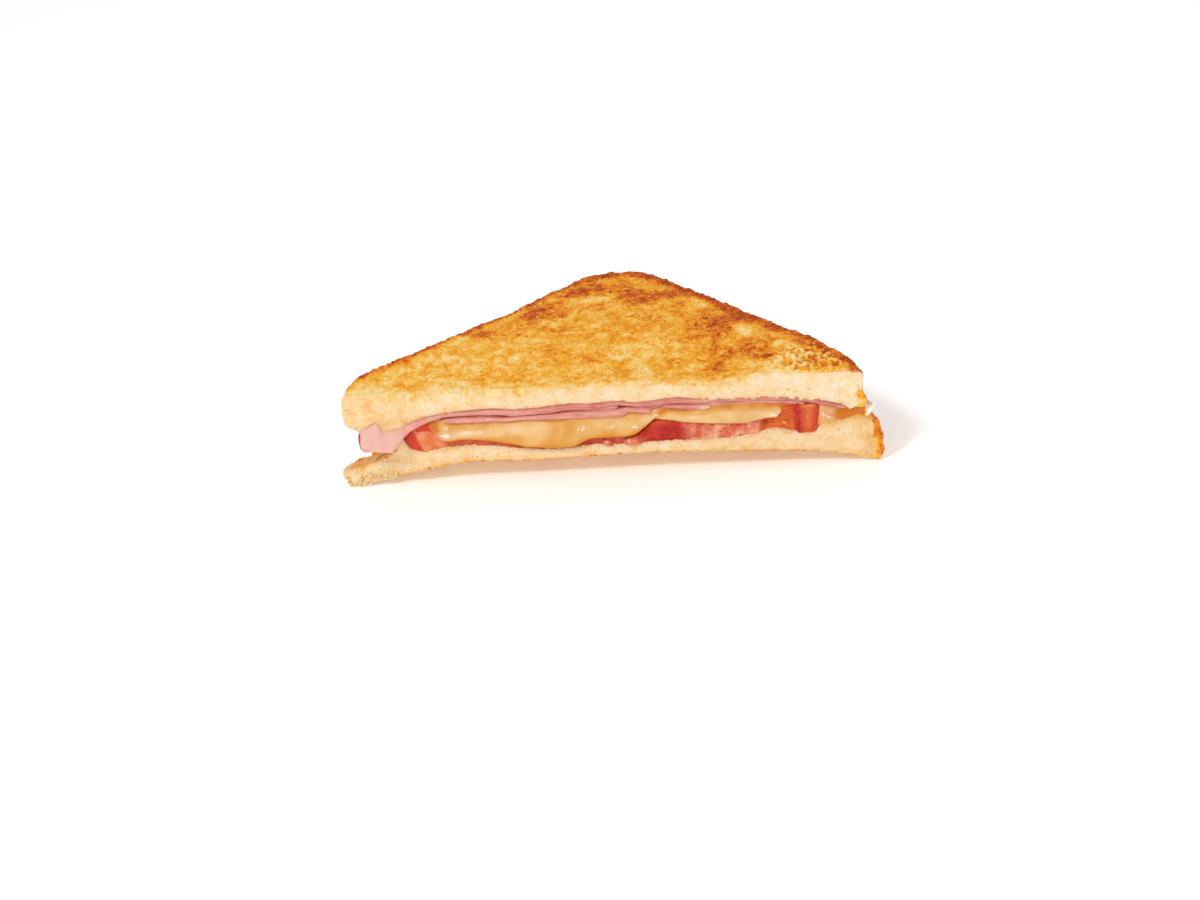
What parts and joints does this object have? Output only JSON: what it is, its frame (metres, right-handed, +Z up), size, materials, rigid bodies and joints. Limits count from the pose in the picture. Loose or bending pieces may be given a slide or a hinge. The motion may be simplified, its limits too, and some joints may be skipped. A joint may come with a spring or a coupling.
{
  "type": "grilled cheese sandwich half",
  "caption": "Triangular half of a toasted sandwich cut corner to corner, with ham, melted cheese and tomato showing at the cut face.",
  "frame": {"origin": "middle of the bounding box in plan, on the surface that the sandwich rests on", "axes": "+X to the right along the long cut edge seen from the cut side, +Y from the cut face to the rounded corner of the slices, +Z up through the layers"},
  "size_m": [0.1558, 0.0792, 0.0309],
  "materials": {
    "bread": "toasted golden brown faces, pale open crumb at the cut",
    "ham": "moist pink cooked ham",
    "cheese": "glossy melted pale yellow cheese",
    "tomato": "wet red tomato flesh and skin"
  },
  "bodies": {
    "root": {"bread_bottom": "bread", "tomato_left": "tomato", "tomato_right": "tomato", "cheese_left": "cheese", "cheese_right": "cheese", "ham_top": "ham", "ham_middle": "ham", "ham_lower": "ham", "bread_top": "bread"}
  },
  "joints": []
}
